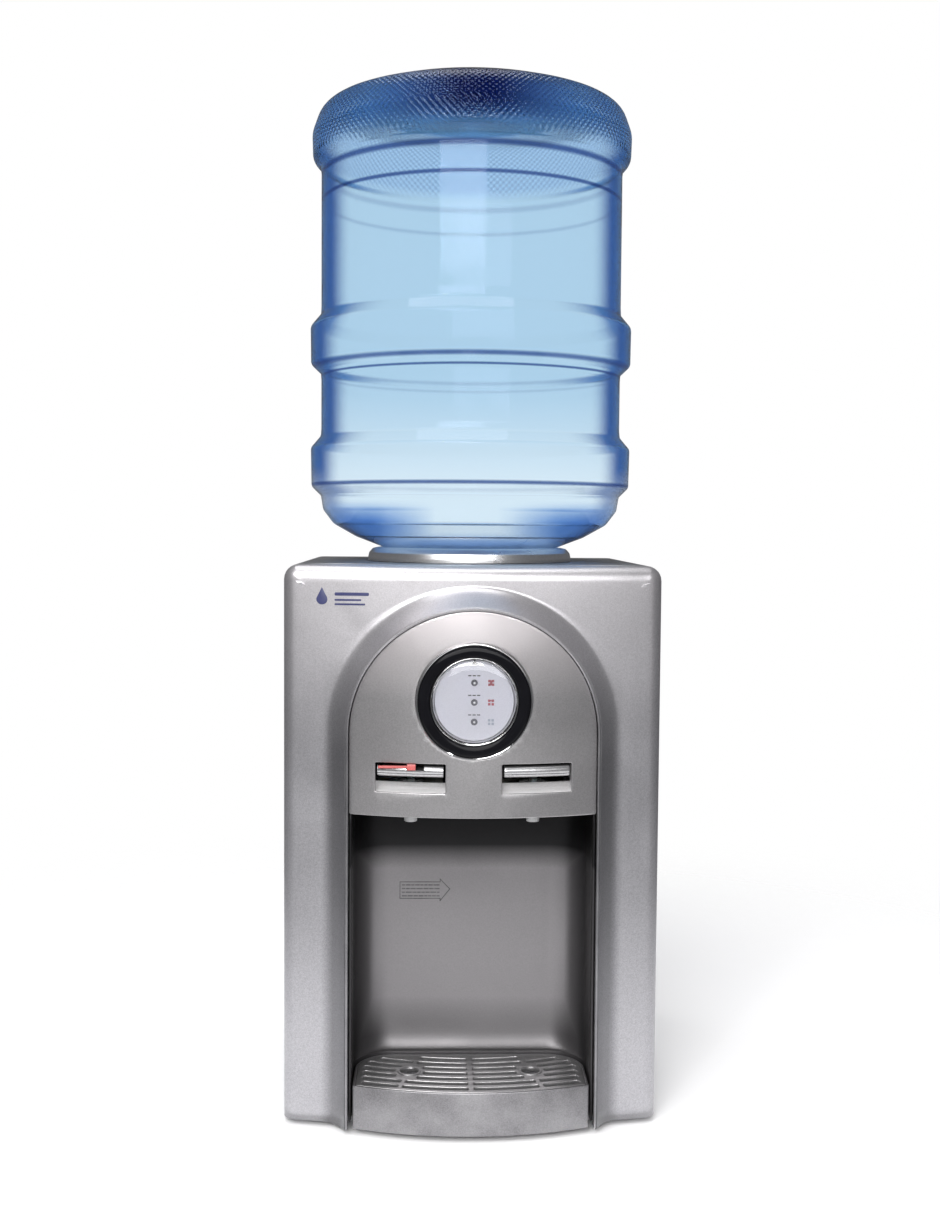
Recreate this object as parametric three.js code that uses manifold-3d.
// Countertop hot and cold water dispenser: an arched cabinet with two push taps, a round indicator dial,
// a bow-fronted drip tray and an upturned 19 litre bottle standing in a collar on the lid.
// Millimetres, +Z up. The front faces -Y. The origin is the middle of the footprint, on the worktop.

import * as THREE from "three";
import { mergeVertices } from "three/addons/utils/BufferGeometryUtils.js";
import Module from "manifold-3d";

const wasm = await Module();
wasm.setup();

// ---------------------------------------------------------------- driving dimensions

// Cabinet
const bodyWidth = 300;
const bodyTop = 450;
const overallDepth = 330; // from the tip of the arch lip to the drain cap
const footHeight = 5; // the cabinet's lower edge stands this far above the worktop
const footRadius = 12;
const mouldWall = 3; // moulded covers
const sheetWall = 2; // folded side and back panels
const baseThick = 4;
const cornerRadius = 14; // upright corners, seen from above
const edgeRadius = 12; // rounded edge round the lid
const lidDepth = 24; // height of the lid's skirt
const wrapDepth = 27; // how far the front cover reaches back from the middle of the face
const panelReturn = 32; // how far each side panel wraps round its rear corner

// Clearances
const rest = 0.3; // between pieces that rest on or in each other
const seam = 0.5; // visible joint between two covers
const running = 0.3; // round a pin in its hole, on the radius

// Arch on the front
const faceBow = 730; // plan radius of the cabinet's face
const archBow = 268; // plan radius of the lip, the tap panel and the tray
const archRadius = 97.5; // half the width between the lips
const archCentre = 319; // height of the half round's centre
const lipReach = 25.8; // how far the lip stands in front of the face, at the middle
const lipProud = 3.4; // how far the lip stands in front of the tap panel
const lipWidth = 1.8;
const flareWidth = 17.8; // from the lip's inner edge out to the flat of the face
const lipDepth = 10; // inner return of the lip

// Tap panel and its openings
const panelBottom = 256;
const panelWall = 3;
const panelGap = 0.8;
const tapSpacing = 98;
const windowWidth = 54.5;
const windowLow = 275;
const windowHigh = 298;

// Dial
const dialCentre = 346.6;
const dialTrimRadius = 45;
const dialBezelRadius = 43.2;
const dialRingRadius = 34;
const dialPlateRadius = 30.2;
const lampRadius = 2.6;
const lampPitch = 15.1;
const lampDrop = 0.8; // the middle lamp sits this far under the dial's centre

// Push keys and valves
const keyWidth = 51;
const keyTop = 296;
const keyHeight = 8.2;
const keyArm = 3;
const keyPinBehind = 19; // from the spout's axis back to the key's pin
const keyPinHeight = 291;
const keyPinRadius = 2;
const lockTravel = 6;
const spoutRadius = 5.2;
const spoutTip = 244.8;
const spoutBehind = 15; // from the face's edge plane back to the spouts
const valveRadius = 11;

// Bay and tray
const bayCorner = 31;
const bayBehind = 55; // from the face's edge plane back to the bay's foot
const bayScoop = 13; // the bay's back is this much deeper above its foot
const bayWall = 2.2;
const bayTop = 262;
const trayTop = 40;
const trayWall = 2.2;
const trayGap = 0.8;
const grillThick = 3;
const grillRim = 3.4;
const slotPitch = 10.4;
const slotWidth = 5.8;
const targetRadius = 7.5;

// Bottle and its seat
const bottleY = 6;
const bottleWall = 2;
const bottleLength = 464;
const neckRadius = 27.5;
const neckLength = 60;
const neckDepth = 70; // from the lid down to the mouth of the neck
const bottleRadius = 129;
const ribRadius = 137.3;
const ribSlope = 15; // from a rib's crest down to the wall
const footSkirt = 59; // height of the swollen foot
const collarRadius = 88.7;
const collarInner = 66.5;
const collarHeight = 12;
const lidHole = 84;

// Tanks, cooling and supply
const coldTankRadius = 60;
const coldTankLow = 272;
const coldTankHigh = 371;
const tankWall = 2;
const foamThick = 17.5;
const outletReach = 6; // how far the cold outlet stands out of the tank
const hotTankRadius = 45;
const hotTankX = -60;
const hotTankY = 50;
const hotTankLow = 40;
const hotTankHigh = 190;
const hoseRadius = 4.5;
const fanSize = 92;
const fanDepth = 25;
const fanCentre = 322;
const fanClearance = 3.7; // from the fan to the back panel
const sinkBase = 6;
const finHeight = 27.5;
const sinkToFan = 0.5;
const peltierThick = 5; // with a film of paste on each face
const drainHeight = 28;
const drainReach = 12;
const inletX = -85;
const inletZ = 60;
const switchX = 85;
const switchPitch = 26;
const switchTilt = 10;

// ---------------------------------------------------------------- places worked out from them

const frontY = -overallDepth / 2;
const rearY = overallDepth / 2;
const backY = rearY - drainReach; // outer face of the back panel
const faceFront = frontY + lipReach;
const panelFront = frontY + lipProud;
const wrapY = faceFront + wrapDepth; // joint between the front cover and the side panels
const bow = (radius, x) => radius - Math.sqrt(radius * radius - x * x);
const faceAt = (x) => faceFront + bow(faceBow, x);
const lipAt = (x) => frontY + bow(archBow, x);
const panelAt = (x) => panelFront + bow(archBow, x);
const edgePlane = faceAt(archRadius + flareWidth); // the face's depth where the flare ends
const baseTop = footHeight + baseThick;
const bottleMouth = bodyTop - neckDepth; // the bottle stands on its head
const shoulder = bottleMouth + neckLength;
const bottleTop = bottleMouth + bottleLength;
const tapX = tapSpacing / 2;
const spoutY = edgePlane + spoutBehind;
const keyPinY = spoutY + keyPinBehind;
const bayBack = edgePlane + bayBehind;
const bayHalf = archRadius - rest - bayWall;
const trayHalf = bayHalf - 1.5;
const trayBack = bayBack - trayGap;

// ---------------------------------------------------------------- shared helpers

// A closed solid from any closed geometry. Collapsed triangles go, and an inside-out one is turned.
function solid(geometry) {
  const bare = new THREE.BufferGeometry();
  const loose = geometry.index ? geometry.toNonIndexed() : geometry;
  bare.setAttribute("position", loose.getAttribute("position"));
  const merged = mergeVertices(bare, 1e-4);
  const corners = merged.index.array;
  const kept = [];
  for (let i = 0; i < corners.length; i += 3) {
    const [a, b, c] = [corners[i], corners[i + 1], corners[i + 2]];
    if (a !== b && b !== c && a !== c) kept.push(a, b, c);
  }
  const build = (triangles) =>
    new wasm.Manifold(
      new wasm.Mesh({
        numProp: 3,
        vertProperties: merged.attributes.position.array,
        triVerts: new Uint32Array(triangles),
      }),
    );
  const made = build(kept);
  return made.volume() > 0 ? made : build(kept.reverse());
}

function geometryOf(made) {
  const { vertProperties, triVerts, numProp, numVert } = made.getMesh();
  const places = new Float32Array(numVert * 3);
  for (let i = 0; i < numVert; i++) {
    places.set(vertProperties.subarray(i * numProp, i * numProp + 3), i * 3);
  }
  const geometry = new THREE.BufferGeometry();
  geometry.setAttribute("position", new THREE.BufferAttribute(places, 3));
  geometry.setIndex(new THREE.BufferAttribute(triVerts, 1));
  return geometry;
}

const join = (first, ...others) => others.reduce((made, next) => made.add(next), first);
const cut = (first, ...others) => others.reduce((made, next) => made.subtract(next), first);

const moved = (geometry, x, y, z) => solid(geometry.translate(x, y, z));

function block([x0, x1], [y0, y1], [z0, z1]) {
  const box = new THREE.BoxGeometry(x1 - x0, y1 - y0, z1 - z0);
  return moved(box, (x0 + x1) / 2, (y0 + y1) / 2, (z0 + z1) / 2);
}

function rodZ(radius, x, y, [z0, z1], sides = 24) {
  const rod = new THREE.CylinderGeometry(radius, radius, z1 - z0, sides).rotateX(Math.PI / 2);
  return moved(rod, x, y, (z0 + z1) / 2);
}

function rodY(radius, x, [y0, y1], z, sides = 24) {
  const rod = new THREE.CylinderGeometry(radius, radius, y1 - y0, sides);
  return moved(rod, x, (y0 + y1) / 2, z);
}

function rodX(radius, [x0, x1], y, z, sides = 16) {
  const rod = new THREE.CylinderGeometry(radius, radius, x1 - x0, sides).rotateZ(Math.PI / 2);
  return moved(rod, (x0 + x1) / 2, y, z);
}

// Turned about an upright axis: the profile is pairs of radius and height.
function turned(profile, x, y, sides = 24) {
  const points = profile.map(([r, z]) => new THREE.Vector2(r, z));
  points.push(points[0].clone());
  return moved(new THREE.LatheGeometry(points, sides).rotateX(Math.PI / 2).scale(1, -1, 1), x, y, 0);
}

// Turned about a level axis that runs front to back: pairs of radius and y.
function turnedY(profile, x, z, sides = 32) {
  const points = profile.map(([r, y]) => new THREE.Vector2(r, y));
  points.push(points[0].clone());
  return moved(new THREE.LatheGeometry(points, sides), x, 0, z);
}

function arc(x, y, radius, from, to, steps) {
  const points = [];
  for (let i = 0; i <= steps; i++) {
    const turn = from + ((to - from) * i) / steps;
    points.push(new THREE.Vector2(x + radius * Math.cos(turn), y + radius * Math.sin(turn)));
  }
  return points;
}

const outline = (pairs) => pairs.map(([x, y]) => new THREE.Vector2(x, y));

// Plan outlines stand upright between two heights.
function alongZ(points, z0, z1) {
  const settings = { depth: z1 - z0, bevelEnabled: false };
  return moved(new THREE.ExtrudeGeometry(new THREE.Shape(points), settings), 0, 0, z0);
}

// Front outlines, in x and z, run from y0 back to y1.
function alongY(points, y0, y1) {
  const settings = { depth: y1 - y0, bevelEnabled: false };
  const made = new THREE.ExtrudeGeometry(new THREE.Shape(points), settings);
  return moved(made.rotateX(Math.PI / 2), 0, y1, 0);
}

// Side outlines, in y and z, run from x0 to x1.
function alongX(points, x0, x1) {
  const settings = { depth: x1 - x0, bevelEnabled: false };
  const made = new THREE.ExtrudeGeometry(new THREE.Shape(points), settings);
  const turn = new THREE.Matrix4().makeBasis(
    new THREE.Vector3(0, 1, 0),
    new THREE.Vector3(0, 0, 1),
    new THREE.Vector3(1, 0, 0),
  );
  return moved(made.applyMatrix4(turn), x0, 0, 0);
}

// A closed skin through rings of equal count. flat gives a ring's points in the plane of its end cap.
function loft(rings, flat = (p) => new THREE.Vector2(p.x, p.y)) {
  const count = rings[0].length;
  const places = rings.flat().flatMap((p) => [p.x, p.y, p.z]);
  const corners = [];
  for (let ring = 0; ring + 1 < rings.length; ring++) {
    for (let i = 0; i < count; i++) {
      const next = (i + 1) % count;
      const [a, b] = [ring * count + i, ring * count + next];
      const [c, d] = [a + count, b + count];
      corners.push(a, b, d, a, d, c);
    }
  }
  const last = (rings.length - 1) * count;
  const startCap = THREE.ShapeUtils.triangulateShape(rings[0].map(flat), []);
  const endCap = THREE.ShapeUtils.triangulateShape(rings.at(-1).map(flat), []);
  const signed = (cap, ring) => {
    const [a, b, c] = cap[0].map((i) => flat(ring[i]));
    return (b.x - a.x) * (c.y - a.y) - (b.y - a.y) * (c.x - a.x) > 0;
  };
  const clockwise = THREE.ShapeUtils.isClockWise(rings[0].map(flat));
  const startTurn = signed(startCap, rings[0]) === clockwise;
  const endClockwise = THREE.ShapeUtils.isClockWise(rings.at(-1).map(flat));
  const endTurn = signed(endCap, rings.at(-1)) === endClockwise;
  for (const [a, b, c] of startCap) corners.push(...(startTurn ? [a, b, c] : [c, b, a]));
  for (const face of endCap) {
    const [a, b, c] = face.map((i) => i + last);
    corners.push(...(endTurn ? [c, b, a] : [a, b, c]));
  }
  const geometry = new THREE.BufferGeometry();
  geometry.setAttribute("position", new THREE.Float32BufferAttribute(places, 3));
  geometry.setIndex(corners);
  return solid(geometry);
}

// A round hose or wire along a smooth curve through the given points.
function hose(points, radius, steps, sides = 8) {
  const path = new THREE.CatmullRomCurve3(points.map((p) => new THREE.Vector3(...p)));
  const section = new THREE.Shape(arc(0, 0, radius, 0, 2 * Math.PI, sides).slice(0, -1));
  return solid(new THREE.ExtrudeGeometry(section, { steps, extrudePath: path }));
}

// ---------------------------------------------------------------- materials

const finish = (color, roughness, metalness = 0, opacity = 1) =>
  new THREE.MeshStandardMaterial({ color, roughness, metalness, opacity, transparent: opacity < 1 });

const silverPaint = finish(0xa9a9ae, 0.35, 0.6);
const bayGrey = finish(0x6f6c70, 0.45, 0.3);
const chrome = finish(0xd8d8da, 0.12, 1);
const steel = finish(0xb8bbbe, 0.3, 1);
const sheetGrey = finish(0x8c8d92, 0.5, 0.4);
const pianoBlack = finish(0x0a0a0c, 0.1);
const darkPlastic = finish(0x1d1d20, 0.5);
const dialSilver = finish(0xd6d5de, 0.35);
const clearPlastic = finish(0xf4f7fa, 0.05, 0, 0.25);
const bottleBlue = finish(0x5c9fdc, 0.08, 0, 0.45);
const capWhite = finish(0xe9eaec, 0.4);
const lampGlass = finish(0x6d6b74, 0.2);
const lockRed = finish(0xb03a3c, 0.4);
const rubber = finish(0x202022, 0.8);
const foam = finish(0xf1f0ea, 0.9);
const silicone = finish(0xdfe3e4, 0.5);
const boardGreen = finish(0x2f5d3a, 0.6);

const dispenser = new THREE.Group();

function add(name, made, material) {
  const mesh = new THREE.Mesh(geometryOf(made), material);
  mesh.name = name;
  dispenser.add(mesh);
  return made;
}

// ---------------------------------------------------------------- cabinet

// Plan outline of the cabinet, taken in by inset: bowed face, round corners, flat back.
function cabinetPlan(inset) {
  const half = bodyWidth / 2;
  const x = half - cornerRadius;
  const bowCentre = faceFront + faceBow;
  const y = bowCentre - Math.sqrt((faceBow - cornerRadius) ** 2 - x * x);
  const turn = Math.atan2(y - bowCentre, x);
  const radius = cornerRadius - inset;
  const rear = backY - cornerRadius;
  return [
    ...arc(0, bowCentre, faceBow - inset, -Math.PI - turn, turn, 12),
    ...arc(x, y, radius, turn, 0, 4).slice(1),
    ...arc(x, rear, radius, 0, Math.PI / 2, 4),
    ...arc(-x, rear, radius, Math.PI / 2, Math.PI, 4),
    ...arc(-x, y, radius, Math.PI, 2 * Math.PI + (-Math.PI - turn), 4).slice(0, -1),
  ];
}

// The whole cabinet as a solid block, rounded over at the top.
function cabinetBlock(inset) {
  const radius = edgeRadius - inset;
  const low = -radius;
  const settings = {
    depth: bodyTop - inset - radius - low,
    bevelEnabled: true,
    bevelThickness: radius,
    bevelSize: radius,
    bevelOffset: -radius,
    bevelSegments: 3,
  };
  return moved(new THREE.ExtrudeGeometry(new THREE.Shape(cabinetPlan(inset)), settings), 0, 0, low);
}

// An arch outline in x and z: straight legs below a half round.
function archOutline(radius, low) {
  return [
    new THREE.Vector2(-radius, low),
    new THREE.Vector2(radius, low),
    ...arc(0, archCentre, radius, 0, Math.PI, 22),
  ];
}

// The flare round the arch: its ring sections run up one leg, over the half round and down the other.
function archFlare() {
  const steps = 6;
  const front = [[0, 1]];
  for (let i = 0; i <= steps; i++) {
    const share = i / steps;
    front.push([lipWidth + (flareWidth - lipWidth) * share, (1 - share) ** 1.5]);
  }
  const stations = [
    [-1, 0, footHeight],
    ...arc(0, archCentre, 1, Math.PI, 0, 22).map((p) => [p.x, p.y - archCentre, archCentre]),
    [1, 0, footHeight],
  ];
  const ring = ([outX, outZ, z]) => {
    const place = (out, height, behind) => {
      const x = outX * (archRadius + out);
      const y = faceAt(x) + height * (lipAt(x) - faceAt(x)) + behind;
      return new THREE.Vector3(x, y, z + outZ * (archRadius + out));
    };
    const skin = front.map(([out, height]) => place(out, height, 0));
    const back = front.slice(2).reverse().map(([out, height]) => place(out, height, mouldWall + 0.4));
    return [...skin, ...back, place(mouldWall, 1, lipDepth), place(0, 1, lipDepth)];
  };
  return loft(stations.map(ring));
}

function frontFascia() {
  const front = block([-bodyWidth, bodyWidth], [2 * frontY, wrapY], [footHeight, bodyTop + 1]);
  const shell = cut(cabinetBlock(0), cabinetBlock(mouldWall)).intersect(front);
  const opening = archOutline(archRadius + flareWidth - 2.5, 0);
  return join(cut(shell, alongY(opening, 2 * frontY, wrapY - 8)), archFlare());
}

function topCover() {
  const rear = block([-bodyWidth, bodyWidth], [wrapY + seam, rearY], [bodyTop - lidDepth, bodyTop + 1]);
  const shell = cut(cabinetBlock(0), cabinetBlock(mouldWall)).intersect(rear);
  return cut(shell, rodZ(lidHole, 0, bottleY, [bodyTop - 10, bodyTop + 10], 48));
}

function sidePanel(side) {
  const [low, high] = [footHeight, bodyTop - lidDepth - seam];
  const strip = cut(
    alongZ(cabinetPlan(0), low, high),
    alongZ(cabinetPlan(sheetWall), low - 1, high + 1),
  );
  const inner = bodyWidth / 2 - panelReturn;
  const across = side > 0 ? [inner, bodyWidth] : [-bodyWidth, -inner];
  return strip.intersect(block(across, [wrapY + seam, rearY], [low - 1, high + 1]));
}

// Rows of level slots, as one cutter through the back panel.
function slots(x, z, width, rows, pitch, height) {
  const made = [];
  for (let row = 0; row < rows; row++) {
    const middle = z + (row - (rows - 1) / 2) * pitch;
    made.push(block([x - width / 2, x + width / 2], [backY - 10, backY + 10],
      [middle - height / 2, middle + height / 2]));
  }
  return join(...made);
}

function backPanel() {
  const half = bodyWidth / 2 - panelReturn - seam;
  const plate = block([-half, half], [backY - sheetWall, backY], [footHeight, bodyTop - lidDepth - seam]);
  const inlet = block([inletX - 14, inletX + 14], [backY - 10, backY + 10], [inletZ - 10.5, inletZ + 10.5]);
  const rockers = block(
    [switchX - 7.5, switchX + 7.5],
    [backY - 10, backY + 10],
    [inletZ - switchPitch / 2 - 13, inletZ + switchPitch / 2 + 13],
  );
  return cut(
    plate,
    slots(0, fanCentre, 84, 8, 10.5, 5),
    slots(0, 175, 120, 6, 10.5, 5),
    rodY(9.5, 0, [backY - 10, backY + 10], drainHeight),
    inlet,
    rockers,
  );
}

// The base, with three posts that carry the hot tank.
function basePlate() {
  const plate = alongZ(cabinetPlan(mouldWall + seam), footHeight, baseTop);
  const posts = [0.5, 1.17, 1.83].map((turn) => {
    const angle = turn * Math.PI;
    const [x, y] = [Math.cos(angle), Math.sin(angle)].map((share) => share * (hotTankRadius - 7));
    return rodZ(4, hotTankX + x, hotTankY + y, [footHeight + 1, hotTankLow - rest], 12);
  });
  return join(plate, ...posts);
}

// ---------------------------------------------------------------- dispensing bay

// A ring of the bay's wall at one height: down one side, round the back and up the other.
function bayRing(z, back, front) {
  const side = (out) => {
    const [x, y, radius] = [bayHalf - bayCorner, back - bayCorner, bayCorner + out];
    return [
      new THREE.Vector2(bayHalf + out, front),
      ...arc(x, y, radius, 0, Math.PI / 2, 6),
      ...arc(-x, y, radius, Math.PI / 2, Math.PI, 6),
      new THREE.Vector2(-bayHalf - out, front),
    ];
  };
  const flat = [...side(0), ...side(bayWall).reverse()];
  return flat.map((p) => new THREE.Vector3(p.x, p.y, z));
}

function bayLiner() {
  const front = panelAt(archRadius) + panelWall + rest;
  const scoopFoot = trayTop + 2;
  const scoopHeight = 78;
  const levels = [[baseTop + rest, 0], [scoopFoot, 0]];
  for (let i = 1; i <= 6; i++) {
    const turn = ((Math.PI / 2) * i) / 6;
    levels.push([scoopFoot + scoopHeight * (1 - Math.cos(turn)), bayScoop * Math.sin(turn)]);
  }
  levels.push([bayTop, bayScoop]);
  const walls = loft(levels.map(([z, deeper]) => bayRing(z, bayBack + deeper, front)));
  const roofPlan = bayRing(0, bayBack + bayScoop, front).slice(16).map((p) => new THREE.Vector2(p.x, p.y));
  const roof = alongZ(roofPlan, bayTop - 0.5, bayTop + bayWall);
  const holes = [-tapX, tapX].map((x) => rodZ(spoutRadius + 0.8, x, spoutY, [bayTop - 5, bayTop + 10]));
  return cut(join(walls, roof), ...holes);
}

// ---------------------------------------------------------------- drip tray and grill

// Plan outline of the tray, taken in by inset: bowed front, round rear corners.
function trayPlan(inset) {
  const half = trayHalf - inset;
  const radius = bayCorner - inset;
  const [x, y] = [half - radius, trayBack - bayCorner];
  const front = [];
  for (let i = 0; i <= 10; i++) {
    const across = -half + (2 * half * i) / 10;
    front.push(new THREE.Vector2(across, panelFront + inset + bow(archBow - inset, across)));
  }
  return [
    ...front,
    ...arc(x, y, radius, 0, Math.PI / 2, 7),
    ...arc(-x, y, radius, Math.PI / 2, Math.PI, 7),
  ];
}

const ledgeZ = trayTop - grillThick - rest;

function dripTray() {
  const basin = alongZ(trayPlan(0), baseTop + rest, trayTop);
  const lowFront = block([-bodyWidth, bodyWidth], [2 * frontY, faceFront - 2], [0, trayTop]);
  const apronBlock = alongZ(trayPlan(0), footHeight + rest, trayTop).intersect(lowFront);
  const apron = cut(apronBlock, alongZ(trayPlan(mouldWall), 0, bodyTop));
  const bowl = alongZ(trayPlan(2 * trayWall), baseTop + rest + trayWall, bodyTop);
  const recess = alongZ(trayPlan(trayWall), ledgeZ, bodyTop);
  return cut(join(basin, apron), bowl, recess);
}

// One slot of the grill: a curved band that keeps the tray's bow.
function slotBand(radius) {
  const centre = panelFront + archBow;
  const reach = Math.asin(bayHalf / radius);
  const [from, to] = [-Math.PI / 2 - reach, -Math.PI / 2 + reach];
  const points = [
    ...arc(0, centre, radius + slotWidth / 2, from, to, 8),
    ...arc(0, centre, radius - slotWidth / 2, to, from, 8),
  ];
  return alongZ(points, 0, bodyTop);
}

// A rib of the grill that stands square to the slots, through x at the spouts' depth.
function grillRib(x, width) {
  const centre = panelFront + archBow;
  const lean = Math.atan2(x, centre - spoutY);
  const long = new THREE.BoxGeometry(width, overallDepth, bodyTop).rotateZ(lean);
  return moved(long, x, spoutY, 0);
}

function dripGrill() {
  const plate = alongZ(trayPlan(trayWall + rest), ledgeZ + rest, trayTop);
  const bands = [];
  for (let row = 0; row < 8; row++) bands.push(slotBand(archBow - 9.6 - row * slotPitch));
  const inside = alongZ(trayPlan(trayWall + rest + grillRim), 0, bodyTop);
  const kept = [grillRib(0, 4), grillRib(-tapX, 3), grillRib(tapX, 3)];
  for (const x of [-tapX, tapX]) kept.push(rodZ(targetRadius + 4, x, spoutY, [0, bodyTop], 14));
  const open = cut(join(...bands).intersect(inside), ...kept);
  const targets = [-tapX, tapX].map((x) => rodZ(targetRadius, x, spoutY, [0, bodyTop], 14));
  return cut(plate, open, ...targets);
}

// ---------------------------------------------------------------- tap panel

function tapPanel() {
  const half = archRadius - panelGap;
  const curve = (inset) => {
    const points = [];
    for (let i = 0; i <= 14; i++) {
      const x = -half - 1 + ((2 * half + 2) * i) / 14;
      points.push(new THREE.Vector2(x, panelAt(x) + inset));
    }
    return points;
  };
  const band = alongZ([...curve(0), ...curve(panelWall).reverse()], panelBottom, archCentre + archRadius);
  const returnBack = lipAt(archRadius) + 5;
  const returnPlan = [
    ...curve(0.5).slice(1, -1),
    new THREE.Vector2(half - 3, returnBack),
    new THREE.Vector2(-half + 3, returnBack),
  ];
  const foot = alongZ(returnPlan, panelBottom, panelBottom + 2.5);
  const arch = alongY(archOutline(half, panelBottom - 1), 2 * frontY, 0);
  const windows = [-tapX, tapX].map((x) =>
    block([x - windowWidth / 2, x + windowWidth / 2], [2 * frontY, 0], [windowLow, windowHigh]));
  const dial = rodY(dialTrimRadius + rest, 0, [2 * frontY, 0], dialCentre, 48);
  return cut(join(band, foot).intersect(arch), ...windows, dial);
}

// ---------------------------------------------------------------- indicator dial

function dialTrim() {
  const back = panelFront + 6;
  return turnedY([
    [dialBezelRadius + rest, back],
    [dialTrimRadius, back],
    [dialTrimRadius, panelFront - 1],
    [dialTrimRadius - 0.6, panelFront - 1.8],
    [dialBezelRadius + rest, panelFront - 1.8],
  ], 0, dialCentre);
}

function dialBezel() {
  const back = panelFront + 6;
  const inner = dialRingRadius + rest;
  return turnedY([
    [inner, back],
    [dialBezelRadius, back],
    [dialBezelRadius, panelFront - 1.2],
    [dialBezelRadius - 1.2, panelFront - 2.4],
    [dialBezelRadius - 4.5, panelFront - 3],
    [inner + 1, panelFront - 2.6],
    [inner, panelFront - 1.8],
  ], 0, dialCentre);
}

function dialInnerRing() {
  return turnedY([
    [dialPlateRadius + rest, panelFront + 6],
    [dialRingRadius, panelFront + 6],
    [dialRingRadius, panelFront - 2],
    [dialRingRadius - 0.8, panelFront - 2.2],
    [dialRingRadius - 1.8, panelFront - 0.6],
    [dialPlateRadius + rest, panelFront + 2],
  ], 0, dialCentre);
}

function dialLens() {
  return rodY(dialRingRadius - 3, 0, [panelFront - 0.4, panelFront + 0.6], dialCentre, 40);
}

const lampHeights = [1, 0, -1].map((row) => dialCentre - lampDrop + row * lampPitch);

function indicatorPlate() {
  const [y0, y1] = [panelFront + 2.7, panelFront + 4.2];
  const disc = rodY(dialPlateRadius, 0, [y0, y1], dialCentre, 40);
  return cut(disc, ...lampHeights.map((z) => rodY(lampRadius + rest, 0, [y0 - 1, y1 + 1], z, 16)));
}

function lamp(z) {
  const base = panelFront + 8.7;
  return turnedY([
    [0, base],
    [lampRadius, base],
    [lampRadius, panelFront + 2.6],
    [lampRadius * 0.75, panelFront + 1.6],
    [0, panelFront + 1.2],
  ], 0, z, 16);
}

function indicatorBoard() {
  const half = dialPlateRadius - 4;
  const face = panelFront + 9;
  return block([-half, half], [face, face + 1.6], [dialCentre - half, dialCentre + half]);
}

// ---------------------------------------------------------------- push keys, lock and valves

// A side outline carried across a window's width, following the panel's bow.
function bowedBar(section, [x0, x1], steps) {
  const rings = [];
  for (let i = 0; i <= steps; i++) {
    const x = x0 + ((x1 - x0) * i) / steps;
    rings.push(section.map(([y, z]) => new THREE.Vector3(x, panelAt(x) + y, z)));
  }
  return loft(rings, (p) => new THREE.Vector2(p.y, p.z));
}

// The liner behind a window: a scooped floor under the key, with a cheek each side.
function keyWell(x) {
  const [front, back] = [panelWall + 0.4, panelWall + 14.4];
  const low = windowLow - 4;
  const scoop = [
    [front, low],
    [back, low],
    [back, windowLow + 5.6],
    [back - 3, windowLow + 3.4],
    [back - 7, windowLow + 1.4],
    [front, windowLow + 0.2],
  ];
  const outer = windowWidth / 2 + 1.8;
  const floor = bowedBar(scoop, [x - outer, x + outer], 6);
  const cheek = [[front, low], [back, low], [back, windowHigh + 1], [front, windowHigh + 1]];
  const cheeks = [-1, 1].map((side) => {
    const edges = [x + side * (windowWidth / 2 + 0.2), x + side * outer];
    return bowedBar(cheek, [Math.min(...edges), Math.max(...edges)], 1);
  });
  return join(floor, ...cheeks);
}

// The key's front bar follows the panel's bow. Its arm runs back to a barrel on the pin.
function pushKey(x) {
  const low = keyTop - keyHeight;
  const bar = [
    [8, low],
    [0.6, low],
    [-1, low + 1],
    [-1.8, low + 2.6],
    [-2, low + 5],
    [-1.2, low + 7.2],
    [0.6, keyTop],
    [8, keyTop],
  ];
  const front = bowedBar(bar, [x - keyWidth / 2, x + keyWidth / 2], 8);
  const armHalf = keyWidth / 2 - 4;
  const armLow = keyPinHeight - keyArm / 2;
  const arm = block([x - armHalf, x + armHalf], [panelAt(x) + 5, keyPinY], [armLow, armLow + keyArm]);
  const barrelHalf = keyWidth / 2;
  const barrel = rodX(keyPinRadius + 2.6, [x - barrelHalf, x + barrelHalf], keyPinY, keyPinHeight);
  const bore = rodX(keyPinRadius + running, [x - keyWidth, x + keyWidth], keyPinY, keyPinHeight);
  return cut(join(front, arm, barrel), bore);
}

// Where the child lock runs on the hot key: a shallow groove for its tail and a notch for its thumb piece.
const lockLeft = -tapX - 24.6;
const lockStep = -tapX - 2.5;
const lockRight = -tapX + 4.2;
const lockTailLow = keyTop - 1.4;
const lockThumbLow = keyTop - 2.8;

function hotKey() {
  const room = [lockLeft - rest, lockRight + lockTravel + rest];
  const span = [panelAt(0) - 5, panelAt(tapX) + 4.5];
  const groove = block(room, span, [lockTailLow - rest, keyTop + 5]);
  const notch = block([lockStep - rest, room[1]], span, [lockThumbLow - rest, keyTop + 5]);
  return cut(pushKey(-tapX), groove, notch);
}

function childLock() {
  const top = windowHigh - 0.5;
  const y = panelAt(tapX);
  const tail = block([lockLeft, lockStep + 1], [y - 1.5, y + 3.8], [lockTailLow, keyTop]);
  const thumb = block([lockStep, lockRight], [y - 4, y + 3.8], [lockThumbLow, top]);
  return join(tail, thumb);
}

const valveTop = 277.5;
const nippleHeight = 272.3;
const nippleEnd = spoutY + 33;

function tapBody(x) {
  const shoulder = bayTop + bayWall + 0.9;
  const shell = turned([
    [3.6, spoutTip],
    [spoutRadius, spoutTip],
    [spoutRadius, shoulder],
    [valveRadius, shoulder],
    [valveRadius, valveTop - 2.5],
    [7, valveTop],
    [3.6, valveTop],
  ], x, spoutY, 20);
  return join(shell, rodY(hoseRadius, x, [spoutY + 7, nippleEnd], nippleHeight, 12));
}

const plungerTop = keyPinHeight - keyArm / 2 - rest;
const flangeZ = plungerTop - 3.7;

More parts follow.
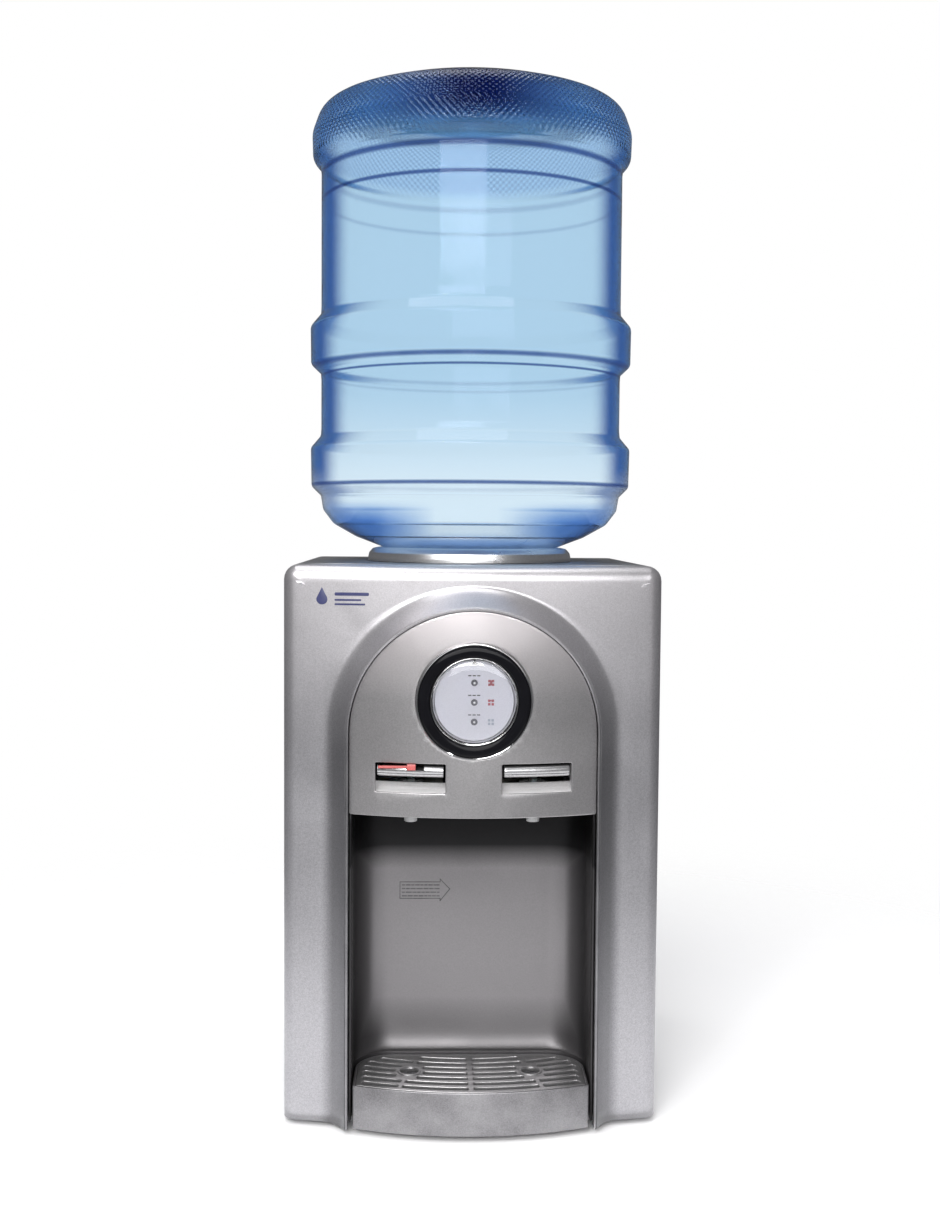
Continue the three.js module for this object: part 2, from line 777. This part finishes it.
function plunger(x) {
  return turned([
    [0, bayTop],
    [3, bayTop],
    [3, flangeZ],
    [6, flangeZ],
    [6, flangeZ + 2],
    [3, flangeZ + 2.2],
    [1.5, plungerTop],
    [0, plungerTop],
  ], x, spoutY, 14);
}

function valveSpring(x) {
  const [turns, wire] = [3, 0.6];
  const [low, high] = [valveTop + rest + wire, flangeZ - rest - wire];
  const points = [];
  for (let i = 0; i <= turns * 8; i++) {
    const turn = (2 * Math.PI * i) / 8;
    const z = low + ((high - low) * i) / (turns * 8);
    points.push([x + 4.8 * Math.cos(turn), spoutY + 4.8 * Math.sin(turn), z]);
  }
  return hose(points, wire, turns * 8, 4);
}

const carrierLow = bayTop + bayWall + rest;

function tapCarrier() {
  const [earIn, earOut] = [keyWidth / 2 + 0.7, keyWidth / 2 + 3.7];
  const plateTop = carrierLow + 3;
  const plate = block([-tapX - 33, tapX + 33], [spoutY - 14, keyPinY + 8], [carrierLow, plateTop]);
  const ears = [-tapX, tapX].flatMap((x) => [-1, 1].map((side) => {
    const [near, far] = [x + side * earIn, x + side * earOut];
    return block([Math.min(near, far), Math.max(near, far)], [keyPinY - 5, keyPinY + 5],
      [plateTop - 0.5, keyPinHeight + 5]);
  }));
  const bores = [-tapX, tapX].flatMap((x) => [
    rodZ(valveRadius + rest, x, spoutY, [carrierLow - 1, plateTop + 1]),
    rodX(keyPinRadius + running, [x - 40, x + 40], keyPinY, keyPinHeight),
  ]);
  return cut(join(plate, ...ears), ...bores);
}

function keyPin(x) {
  const half = keyWidth / 2 + 4.5;
  return rodX(keyPinRadius, [x - half, x + half], keyPinY, keyPinHeight);
}

// ---------------------------------------------------------------- bottle, cap, collar and seat

// A rib round the bottle, by the height of its middle above the shoulder and half the height of its crest.
const rib = (middle, half) => [
  [bottleRadius, shoulder + middle - half - ribSlope],
  [ribRadius, shoulder + middle - half],
  [ribRadius, shoulder + middle + half],
  [bottleRadius, shoulder + middle + half + ribSlope],
];

// Outer profile from the neck up to the rounded foot, which is on top here.
const bottleSide = [
  [neckRadius, bottleMouth + 6],
  [neckRadius, shoulder - 5],
  [neckRadius + 3, shoulder + 0.5],
  [collarInner, shoulder + 21.4],
  [bottleRadius - 23, shoulder + 44],
  [bottleRadius - 11, shoulder + 51],
  ...rib(97, 10),
  ...rib(197.5, 11.5),
  [bottleRadius - 0.6, bottleTop - footSkirt],
  [ribRadius - 1, bottleTop - footSkirt + 19],
  [ribRadius - 2.6, bottleTop - footSkirt + 35],
  [ribRadius - 17, bottleTop - 8],
  [ribRadius - 57, bottleTop],
];

function bottle() {
  const lip = [
    [neckRadius, bottleMouth],
    [neckRadius + 1.6, bottleMouth + 1.5],
    [neckRadius + 1.6, bottleMouth + 4.5],
  ];
  const foot = [
    [ribRadius - 72, bottleTop - 2],
    [0, bottleTop - 8],
    [0, bottleTop - 8 - bottleWall],
    [ribRadius - 72, bottleTop - 2 - bottleWall],
    [ribRadius - 57, bottleTop - bottleWall],
  ];
  const inside = bottleSide.slice(0, -1).map(([r, z], i) => {
    const [before, after] = [bottleSide[Math.max(i - 1, 0)], bottleSide[i + 1]];
    const along = new THREE.Vector2(after[0] - before[0], after[1] - before[1]).normalize();
    return [r - bottleWall * along.y, z + bottleWall * along.x];
  });
  const mouth = [neckRadius - bottleWall, bottleMouth];
  return turned([...lip, ...bottleSide, ...foot, ...inside.reverse(), mouth], 0, bottleY, 24);
}

function bottleCap() {
  const [outer, inner] = [neckRadius + 4.2, neckRadius + 2 + rest];
  const [low, high] = [bottleMouth - 2.6, bottleMouth + 22];
  return turned([
    [11, low],
    [outer - 1, low],
    [outer, low + 1],
    [outer - 1.5, high],
    [inner - 0.5, high],
    [inner, low + 2.3],
    [11, low + 2.3],
  ], 0, bottleY, 24);
}

function collar() {
  const low = bodyTop + rest;
  const high = bodyTop + collarHeight;
  return turned([
    [collarInner, low],
    [collarRadius, low],
    [collarRadius, low + 2.6],
    [collarRadius - 1.2, high - 4.5],
    [collarRadius - 4.6, high - 1],
    [collarRadius - 9, high],
    [collarRadius - 15, high - 0.4],
    [collarInner + 0.8, high - 2],
    [collarInner, high - 3],
  ], 0, bottleY, 30);
}

const probeRadius = 7.5;
const seatLow = coldTankHigh + 1.5;

function bottleSeat() {
  const flange = lidHole - rest;
  return turned([
    [4, seatLow],
    [44, seatLow],
    [56, bodyTop - 48],
    [68, bodyTop - 18],
    [76, bodyTop - 5.5],
    [flange, bodyTop - 5.5],
    [flange, bodyTop],
    [76, bodyTop],
    [65, bodyTop - 16],
    [53.2, bodyTop - 46],
    [42, seatLow + 3],
    [probeRadius, seatLow + 3],
    [probeRadius, bottleMouth + 22],
    [4.5, bottleMouth + 27],
    [4, bottleMouth + 27],
  ], 0, bottleY, 24);
}

// ---------------------------------------------------------------- tanks, cooling and supply

const blockY = bottleY + coldTankRadius + rest;
const fanY = backY - sheetWall - fanClearance - fanDepth;
const sinkY = fanY - sinkToFan - finHeight - sinkBase;
const peltierY = sinkY - peltierThick;
const outletHeight = coldTankLow + 7;
const outletEnd = bottleY - coldTankRadius - outletReach;

function coldTank() {
  const inner = coldTankRadius - tankWall;
  const cup = turned([
    [0, coldTankLow],
    [coldTankRadius, coldTankLow],
    [coldTankRadius, coldTankHigh],
    [inner, coldTankHigh],
    [inner, coldTankLow + tankWall],
    [0, coldTankLow + tankWall],
  ], 0, bottleY, 24);
  const outlet = rodY(hoseRadius, tapX, [outletEnd, outletEnd + 28], outletHeight, 16);
  const drop = rodZ(hoseRadius, 20, bottleY, [coldTankLow - 10, coldTankLow + 1], 16);
  return join(cup, outlet, drop);
}

function coldTankFoam() {
  const [inner, outer] = [coldTankRadius + 0.4, coldTankRadius + 0.4 + foamThick];
  const low = coldTankLow - 6;
  const cup = turned([
    [0, low],
    [outer, low],
    [outer, coldTankHigh],
    [inner, coldTankHigh],
    [inner, coldTankLow - rest],
    [0, coldTankLow - rest],
  ], 0, bottleY, 24);
  const rearWindow = block([-21, 21], [bottleY + 40, rearY], [fanCentre - 21, fanCentre + 21]);
  const outlet = rodY(hoseRadius + 1, tapX, [frontY, bottleY - 20], outletHeight, 16);
  const drop = rodZ(hoseRadius + 1, 20, bottleY, [low - 5, coldTankLow + 1], 16);
  const sinkRoom = block([-bodyWidth, bodyWidth], [sinkY - rest, rearY], [0, bodyTop]);
  return cut(cup, rearWindow, outlet, drop, sinkRoom);
}

// A square block behind the tank, centred on the fan's axis.
function squareBlock(half, y0, y1) {
  return block([-half, half], [y0, y1], [fanCentre - half, fanCentre + half]);
}

function heatSink() {
  const [halfWidth, halfHeight, finThick, finCount] = [45, 42, 2, 11];
  const heights = [fanCentre - halfHeight, fanCentre + halfHeight];
  const base = block([-halfWidth, halfWidth], [sinkY, sinkY + sinkBase], heights);
  const pitch = (2 * halfWidth - finThick) / (finCount - 1);
  const fins = [];
  for (let i = 0; i < finCount; i++) {
    const x = -halfWidth + i * pitch;
    fins.push(block([x, x + finThick], [sinkY + sinkBase - 1, sinkY + sinkBase + finHeight], heights));
  }
  return join(base, ...fins);
}

function fanFrame() {
  const half = fanSize / 2;
  const body = block([-half, half], [fanY, fanY + fanDepth], [fanCentre - half, fanCentre + half]);
  const tunnel = rodY(half - 2.5, 0, [fanY - 1, fanY + fanDepth + 1], fanCentre, 28);
  const struts = [0, 1, 2].map((i) => {
    const bar = new THREE.BoxGeometry(half - 1, 2.5, 5).translate(half / 2, 0, 0);
    bar.rotateY(Math.PI / 2 + (i * 2 * Math.PI) / 3);
    return moved(bar, 0, fanY + fanDepth - 1.25, fanCentre);
  });
  const mount = rodY(17, 0, [fanY + fanDepth - 2.5, fanY + fanDepth], fanCentre);
  return join(cut(body, tunnel), mount, ...struts);
}

function fanRotor() {
  const [y0, y1] = [fanY + 3, fanY + fanDepth - 4];
  const blades = [];
  for (let i = 0; i < 7; i++) {
    const blade = new THREE.BoxGeometry(26, 1.4, 20).translate(28, 0, 0).rotateX(0.75);
    blade.rotateY((i * 2 * Math.PI) / 7);
    blades.push(moved(blade, 0, (y0 + y1) / 2, fanCentre));
  }
  return join(rodY(16, 0, [y0, y1], fanCentre), ...blades);
}

function hotTank() {
  const [inner, outer] = [hotTankRadius - tankWall, hotTankRadius];
  const can = turned([
    [3, hotTankHigh],
    [3, hotTankHigh - tankWall],
    [inner, hotTankHigh - tankWall],
    [inner, hotTankLow + tankWall],
    [3, hotTankLow + tankWall],
    [3, hotTankLow - 10],
    [hoseRadius, hotTankLow - 10],
    [hoseRadius, hotTankLow],
    [outer, hotTankLow],
    [outer, hotTankHigh],
  ], hotTankX, hotTankY, 24);
  const side = hotTankX + hotTankRadius;
  return join(can, rodX(hoseRadius, [side - 1.5, side + 10], hotTankY, hotTankLow + 15));
}

function heaterBand() {
  const [inner, outer] = [hotTankRadius + rest, hotTankRadius + 4];
  const ring = turned([[inner, 90], [outer, 90], [outer, 130], [inner, 130]], hotTankX, hotTankY, 24);
  const split = block([hotTankX - 3, hotTankX + 3], [hotTankY + 30, hotTankY + 60], [80, 140]);
  const terminals = block([hotTankX - 60, hotTankX - outer + 2], [hotTankY - 9, hotTankY + 9], [100, 120]);
  return join(cut(ring, split), terminals);
}

function powerBoard() {
  const x = 100;
  const plate = block([x, x + 1.6], [0, 110], [60, 180]);
  const transformer = block([x - 42, x + 0.5], [30, 82], [84, 132]);
  const legs = [6, 96].map((y) => block([x - 2, x + 4], [y, y + 8], [baseTop + rest, 66]));
  const cans = [[20, 160], [44, 160], [68, 160]].map(([y, z]) => rodX(7, [x - 22, x + 0.5], y, z, 12));
  return join(plate, transformer, ...legs, ...cans);
}

function mainsInlet() {
  const half = { x: 13.5, z: 10 };
  const y1 = backY + rest;
  const flange = block([inletX - 16.5, inletX + 16.5], [y1, y1 + 2.2], [inletZ - 13, inletZ + 13]);
  const body = block([inletX - half.x, inletX + half.x], [backY - 20, y1 + 0.5],
    [inletZ - half.z, inletZ + half.z]);
  const cavity = block([inletX - 12, inletX + 12], [backY - 17, y1 + 5], [inletZ - 8.25, inletZ + 8.25]);
  const blades = [[-7, -2], [0, 2.5], [7, -2]].map(([x, z]) =>
    block([inletX + x - 1, inletX + x + 1], [backY - 18, backY - 5], [inletZ + z - 2, inletZ + z + 2]));
  return join(cut(join(flange, body), cavity), ...blades);
}

const rockerHeights = [0.5, -0.5].map((row) => inletZ + row * switchPitch);
const rockerPivotY = backY + 1;

function switchFrame() {
  const y1 = backY + rest;
  const [low, high] = [inletZ - switchPitch / 2 - 12.5, inletZ + switchPitch / 2 + 12.5];
  const flange = block([switchX - 9.5, switchX + 9.5], [y1, y1 + 2], [low - 2.5, high + 2.5]);
  const body = block([switchX - 7, switchX + 7], [backY - 14, y1 + 0.5], [low, high]);
  const wells = rockerHeights.map((z) =>
    block([switchX - 5.2, switchX + 5.2], [backY - 11, y1 + 5], [z - 10.2, z + 10.2]));
  return cut(join(flange, body), ...wells);
}

// A rocker tipped to one side about its pivot, as it stands when switched on.
function rocker(z) {
  const side = [[-5, 5], [-5, -5], [1.6, -9], [4.6, -8.4], [2.2, 0], [4.6, 8.4], [1.6, 9]];
  const turn = THREE.MathUtils.degToRad(switchTilt);
  const points = side.map(([y, up]) => new THREE.Vector2(
    rockerPivotY + y * Math.cos(turn) - up * Math.sin(turn),
    z + y * Math.sin(turn) + up * Math.cos(turn),
  ));
  return alongX(points, switchX - 4.8, switchX + 4.8);
}

// A bent pipe from under the hot tank out through the back panel.
function drainPipe() {
  const inner = [
    [hotTankX, hotTankY, hotTankLow - 10 - rest],
    [hotTankX, hotTankY, hotTankLow - 14],
    [hotTankX + 4, hotTankY + 7, hotTankLow - 20],
    [-44, 78, 19],
    [-18, 104, 23],
    [-3, 124, drainHeight],
    [0, backY - 10, drainHeight],
  ];
  const spout = turnedY([
    [3, backY - 12],
    [8, backY - 12],
    [8, backY + 8],
    [3, backY + 8],
  ], 0, drainHeight, 24);
  return join(hose(inner, hoseRadius, 14), spout);
}

function drainCap() {
  const [near, far] = [backY + 0.8, rearY];
  return turnedY([
    [8 + rest, near],
    [11.5, near],
    [11.5, far - 1.2],
    [10.5, far],
    [0, far],
    [0, far - 2.5],
    [8 + rest, far - 2.5],
  ], 0, drainHeight, 20);
}

// ---------------------------------------------------------------- assembly

add("front_fascia", frontFascia(), silverPaint);
add("top_cover", topCover(), silverPaint);
add("side_panel_left", sidePanel(-1), sheetGrey);
add("side_panel_right", sidePanel(1), sheetGrey);
add("back_panel", backPanel(), sheetGrey);
add("base_plate", basePlate(), sheetGrey);
for (const [end, y] of [["front", -95], ["rear", 118]]) {
  for (const [hand, x] of [["left", -115], ["right", 115]]) {
    add(`foot_${end}_${hand}`, rodZ(footRadius, x, y, [0, footHeight - rest], 20), rubber);
  }
}
add("bay_liner", bayLiner(), bayGrey);
add("drip_tray", dripTray(), silverPaint);
add("drip_grill", dripGrill(), silverPaint);
add("tap_panel", tapPanel(), silverPaint);
add("dial_trim", dialTrim(), chrome);
add("dial_bezel", dialBezel(), pianoBlack);
add("dial_inner_ring", dialInnerRing(), chrome);
add("indicator_plate", indicatorPlate(), dialSilver);
add("dial_lens", dialLens(), clearPlastic);
["power", "heating", "cooling"].forEach((name, i) => add(`lamp_${name}`, lamp(lampHeights[i]), lampGlass));
add("indicator_board", indicatorBoard(), boardGreen);
add("tap_carrier", tapCarrier(), darkPlastic);
add("hot_key", hotKey(), silverPaint);
add("cold_key", pushKey(tapX), silverPaint);
add("child_lock", childLock(), lockRed);
for (const [tap, x] of [["hot", -tapX], ["cold", tapX]]) {
  add(`${tap}_key_pin`, keyPin(x), steel);
  add(`${tap}_key_well`, keyWell(x), silverPaint);
  add(`${tap}_tap_body`, tapBody(x), capWhite);
  add(`${tap}_plunger`, plunger(x), silicone);
  add(`${tap}_valve_spring`, valveSpring(x), steel);
}
add("bottle_collar", collar(), silverPaint);
add("bottle_seat", bottleSeat(), capWhite);
add("bottle", bottle(), bottleBlue);
add("bottle_cap", bottleCap(), capWhite);
add("cold_tank", coldTank(), steel);
add("cold_tank_foam", coldTankFoam(), foam);
add("cold_block", squareBlock(20, blockY, peltierY), steel);
add("peltier_module", squareBlock(19.5, peltierY + rest, sinkY - rest), capWhite);
add("heat_sink", heatSink(), steel);
add("fan_frame", fanFrame(), darkPlastic);
add("fan_rotor", fanRotor(), darkPlastic);
add("hot_tank", hotTank(), steel);
add("heater_band", heaterBand(), steel);
add("power_board", powerBoard(), boardGreen);
add("mains_inlet", mainsInlet(), darkPlastic);
add("switch_frame", switchFrame(), darkPlastic);
["heating_rocker", "cooling_rocker"].forEach((name, i) => add(name, rocker(rockerHeights[i]), darkPlastic));
add("drain_pipe", drainPipe(), capWhite);
add("drain_cap", drainCap(), capWhite);
add("cold_hose", hose([
  [tapX, outletEnd - rest, outletHeight],
  [tapX, THREE.MathUtils.lerp(outletEnd, nippleEnd, 0.3), outletHeight],
  [tapX, THREE.MathUtils.lerp(outletEnd, nippleEnd, 0.65), nippleHeight],
  [tapX, nippleEnd + rest, nippleHeight],
], hoseRadius, 10), silicone);
add("hot_hose", hose([
  [hotTankX, hotTankY, hotTankHigh + rest],
  [hotTankX, hotTankY, hotTankHigh + 7],
  [hotTankX - 3, hotTankY - 1, hotTankHigh + 18],
  [-84, 36, 230],
  [-95, 0, 252],
  [-94, -34, 268],
  [-78, -56, 272],
  [-58, -63, 272],
  [-tapX, -73, nippleHeight],
  [-tapX, nippleEnd + 5, nippleHeight],
  [-tapX, nippleEnd + rest, nippleHeight],
], hoseRadius, 20), silicone);
add("feed_hose", hose([
  [20, bottleY, coldTankLow - 10 - rest],
  [20, bottleY, 240],
  [26, 20, 180],
  [30, 38, 110],
  [22, 50, 66],
  [8, hotTankY, hotTankLow + 15],
  [hotTankX + hotTankRadius + 10 + rest, hotTankY, hotTankLow + 15],
], hoseRadius, 18), silicone);

export default dispenser;
